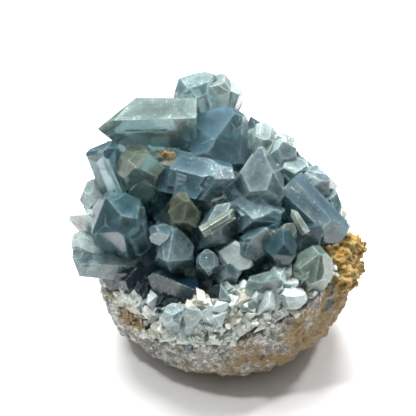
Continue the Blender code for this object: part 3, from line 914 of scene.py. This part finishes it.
def drusePiece():
    luck = random.Random(druseForm["seed"])
    shapes = []
    length = druseForm["shapeLength"]
    for count in range(druseForm["shapes"]):
        width = luck.uniform(*druseForm["shapeWidth"])
        faces, size = plainFaces(luck, length, width, druseForm["shapeBlunt"])
        shapes.append(cutBlock(faces, length, druseForm["shapeEdge"], druseForm["shapeChips"], luck))
    bm = bmesh.new()
    tones = bm.faces.layers.float.new("tone")
    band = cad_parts["druse"]
    bm.from_mesh(band.data)

    def shareOf(at):
        # how far out of the middle a place is, and where the pale crystals begin there
        angle = math.atan2(at.y + middle.y, at.x + middle.x)
        share = (at + middle).xy.length / rimRadius(angle)
        return share, roundTheRim(druseForm["inner"], angle % (2 * math.pi))

    def keep(at, normal):
        return normal.z > druseForm["under"] and shareOf(at)[0] > druseForm["from"]

    # band faces inside the pale ring take the painted shade tone
    for face in bm.faces:
        share, inner = shareOf(face.calc_center_median() / mm)
        pale = share > inner + druseForm["bandEdge"]
        face[tones] = druseForm["bandTone"] if pale else druseForm["paintedShadeTone"]
    low, high = druseForm["length"]
    lean = druseForm["lean"]
    for at, normal in surfacePoints(band, druseForm["count"], luck, keep):
        share, inner = shareOf(at)
        longest = high + (druseForm["atRim"] - high) * min(share, 1) ** 3
        size = low + luck.random() ** druseForm["sizeBias"] * (longest - low)
        aside = Vector((luck.gauss(0, lean), luck.gauss(0, lean), luck.gauss(*druseForm["up"])))
        out = (normal + aside).normalized()
        turned = turnedTo(at + out * size * druseForm["proud"], out, luck.uniform(0, 180))
        matrix = Matrix.Scale(mm, 4) @ turned @ Matrix.Scale(size / length, 4)
        # crystals inside the pale ring take the painted shade tone
        tone = luck.random() * druseForm["toneMost"] if share > inner else druseForm["paintedShadeTone"]
        shape = luck.choice(shapes)
        made = {vert: bm.verts.new(matrix @ vert.co) for vert in shape.verts}
        for face in shape.faces:
            new = bm.faces.new([made[vert] for vert in face.verts])
            new[tones] = tone
    for shape in shapes:
        shape.free()
    addPiece("druseCrystals", bm, "druse", makeDruse())


print("druse")
drusePiece()


# Rock

rockForm = {
    "voxel": 0.75,
    "lumps": ((1.2, 9.0), (1.3, 4.0), (1.0, 2.0)),  # how high and how wide
    "shrink": 0.5,
    "plainBelow": 1.5,  # it stays flat up to here above the table
    "dark": (40, -24, 34, 3.0),
    "rust": 0.105,
    "rustTowards": (0.0026, 0.0015, -0.0035),
}


def makeRock():
    look = Look("rock")
    at = look.places()
    broad = look.grain(at, 12.0, 5, 0.65, 0.5)
    salt = look.grain(at, 3.2, 8, 0.92)
    pepper = look.grain(at + 40, 2.6, 8, 0.9)
    rust = look.grain(at + 90, 11.0, 9, 0.85, 0.4) + look.dot(at, rockForm["rustTowards"]) + rockForm["rust"]
    grains = look.cells(at, 1.3)
    colour = look.ramp(
        broad,
        (0.36, (0.13, 0.13, 0.115)),
        (0.5, (0.25, 0.25, 0.225)),
        (0.64, (0.11, 0.11, 0.09)),
    )
    colour = look.mix(look.window(salt, 0.48, 0.56) * 0.9, colour, (0.72, 0.72, 0.67))
    colour = look.mix(look.window(rust, 0.46, 0.56) * 0.85, colour, (0.27, 0.17, 0.055))
    colour = look.mix(look.window(pepper, 0.54, 0.6) * 0.92, colour, (0.03, 0.03, 0.028))
    colour = look.mix(look.near(at, rockForm["dark"]), colour, (0.07, 0.10, 0.11))
    bump = look.bump(grains, 0.6, 0.8)
    bump = look.bump(salt, 0.9, 0.8, bump)
    return look.finish(look.principled(Base_Color=colour, Roughness=0.9 - salt * 0.3, Normal=bump))


def rockPiece():
    bm = bmesh.new()
    bm.from_mesh(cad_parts["matrix"].data)
    mesh = remeshed("rock", bm, rockForm["voxel"])
    low = cadBox[0].z / mm + rockForm["plainBelow"]

    def height(at, normal):
        return lumpy(at, rockForm["lumps"]) - rockForm["shrink"] if at.z > low else 0

    pushed(mesh, height)
    addMesh("rock", mesh, "matrix", makeRock())


print("rock")
rockPiece()


# Ochre crust

ochreForm = {
    "grains": 420,
    "size": (0.5, 1.6),
    "proud": (-0.3, 0.2),
    "lumps": ((0.6, 1.2), (1.0, 3.0)),
    "shrink": 0.4,
    "voxel": 0.35,
    "seed": 5,
}


def makeOchre():
    look = Look("ochre")
    at = look.places()
    grains = look.grain(at, 2.4, 9, 0.92)
    warm = look.grain(at + 30, 4.0, 4, 0.6)
    colour = look.ramp(
        grains,
        (0.36, (0.025, 0.02, 0.012)),
        (0.44, (0.13, 0.085, 0.03)),
        (0.52, (0.38, 0.25, 0.07)),
        (0.58, (0.52, 0.42, 0.2)),
        (0.64, (0.72, 0.7, 0.58)),
    )
    colour = look.mix(look.window(warm, 0.5, 0.62) * 0.6, colour, (0.50, 0.27, 0.035))
    bump = look.bump(grains, 0.7, 0.9)
    return look.finish(look.principled(Base_Color=colour, Roughness=0.75, Normal=bump))


def ochrePiece():
    luck = random.Random(ochreForm["seed"])
    bm = bmesh.new()
    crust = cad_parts["ochre_crust"]
    bm.from_mesh(crust.data)
    for at, normal in surfacePoints(crust, ochreForm["grains"], luck, lambda at, normal: True):
        size = luck.uniform(*ochreForm["size"])
        placed = Matrix.Translation((at + normal * luck.uniform(*ochreForm["proud"])) * mm)
        bmesh.ops.create_icosphere(bm, subdivisions=1, radius=size * mm, matrix=placed)
    mesh = remeshed("ochre", bm, ochreForm["voxel"])
    pushed(mesh, lambda at, normal: lumpy(at, ochreForm["lumps"]) - ochreForm["shrink"])
    addMesh("ochreCrust", mesh, "ochre_crust", makeOchre())


print("ochre crust")
ochrePiece()


# Floor, light and camera

studio = {
    "pixel": 0.37,  # millimetres to a pixel of the picture
    "side": 416,
    "axisAcross": 218.5,  # where the middle of the specimen's foot stands in the picture
    "axisDown": 336,
    "elevation": 38,
    "distance": 585,
    "scaleAt": 550,  # how far off a pixel shows that many millimetres
    "sensor": 36,
    "floorSize": 3.0,  # metres
    "floor": (0.79, 0.79, 0.79),
    "floorDull": (0.75, 0.75, 0.74),
    # painted shade: the floor is darker far behind the specimen, standing in for the light falling off
    "floorFarPaintedShade": (0.35, 0.35, 0.35),
    "fadesAway": (90, 230),  # millimetres behind the specimen over which the painted shade comes in
    # lamps: place, size and power
    "glint": ((-260, -120, 620), 60, 2.0),
    "glintRight": ((320, 140, 520), 60, 1.5),
    "softbox": ((-60, 300, 660), 620, 15.5),
    "brightSide": (0.0, 0.35, 0.9),
    "sky": ((0.0, 0.15), (0.9, 0.58)),
}


def makeFloor():
    look = Look("paleFloor")
    at = look.places()
    grain = look.grain(at, 60, 2)
    colour = look.mix(grain * 0.3, studio["floor"], studio["floorDull"])
    # painted shade: the floor darkens behind the specimen, in place of the light falling off
    far = look.window(look.dot(at, (0, 1, 0)), *studio["fadesAway"])
    colour = look.mix(far, colour, studio["floorFarPaintedShade"])
    return look.finish(look.principled(Base_Color=colour, Roughness=0.6 + grain * 0.1))


def setStudio():
    mesh = bpy.data.meshes.new("floor")
    bm = bmesh.new()
    bmesh.ops.create_grid(bm, x_segments=1, y_segments=1, size=studio["floorSize"])
    bm.to_mesh(mesh)
    bm.free()
    mesh.materials.append(makeFloor())
    floor = bpy.data.objects.new("floor", mesh)
    scene.collection.objects.link(floor)

    world = bpy.data.worlds.new("studio")
    scene.world = world
    world.use_nodes = True
    setSky(world.node_tree)
    addLamp("softbox", *studio["softbox"], False)
    addLamp("glint", *studio["glint"], True)
    addLamp("glintRight", *studio["glintRight"], True)


def setSky(tree):
    # brighter overhead and behind than in front
    tree.nodes.clear()
    at = tree.nodes.new("ShaderNodeTexCoord")
    lean = tree.nodes.new("ShaderNodeVectorMath")
    lean.operation = "DOT_PRODUCT"
    lean.inputs[1].default_value = studio["brightSide"]
    ramp = tree.nodes.new("ShaderNodeValToRGB")
    for stop, (share, grey) in zip(ramp.color_ramp.elements, studio["sky"]):
        stop.position = share
        stop.color = (grey, grey, grey, 1)
    background = tree.nodes.new("ShaderNodeBackground")
    output = tree.nodes.new("ShaderNodeOutputWorld")
    tree.links.new(at.outputs["Generated"], lean.inputs[0])
    tree.links.new(lean.outputs["Value"], ramp.inputs["Fac"])
    tree.links.new(ramp.outputs["Color"], background.inputs["Color"])
    tree.links.new(background.outputs["Background"], output.inputs["Surface"])


def addLamp(name, at, size, power, mirrored):
    light = bpy.data.lights.new(name, "AREA")
    light.shape = "DISK"
    light.size = size * mm
    light.energy = power
    lamp = bpy.data.objects.new(name, light)
    lamp.visible_glossy = mirrored
    lamp.location = Vector(at) * mm
    lamp.rotation_mode = "QUATERNION"
    lamp.rotation_quaternion = (-Vector(at)).to_track_quat("-Z", "Y")
    scene.collection.objects.link(lamp)


def setCamera():
    lean = math.radians(studio["elevation"])
    up = Vector((0, math.sin(lean), math.cos(lean)))
    back = Vector((0, -math.cos(lean), math.sin(lean)))
    half = studio["side"] / 2
    across = (half - studio["axisAcross"]) * studio["pixel"]
    above = (studio["axisDown"] - half) * studio["pixel"]
    aim = Vector((across, 0, 0)) + up * above - middle
    data = bpy.data.cameras.new("camera")
    data.sensor_width = studio["sensor"]
    data.lens = studio["sensor"] / 2 * studio["scaleAt"] / (half * studio["pixel"])
    camera = bpy.data.objects.new("camera", data)
    camera.location = (aim + back * studio["distance"]) * mm
    camera.rotation_mode = "QUATERNION"
    camera.rotation_quaternion = (-back).to_track_quat("-Z", "Y")
    scene.collection.objects.link(camera)
    scene.camera = camera


print("studio")
setStudio()
setCamera()
scene.view_settings.view_transform = "Standard"
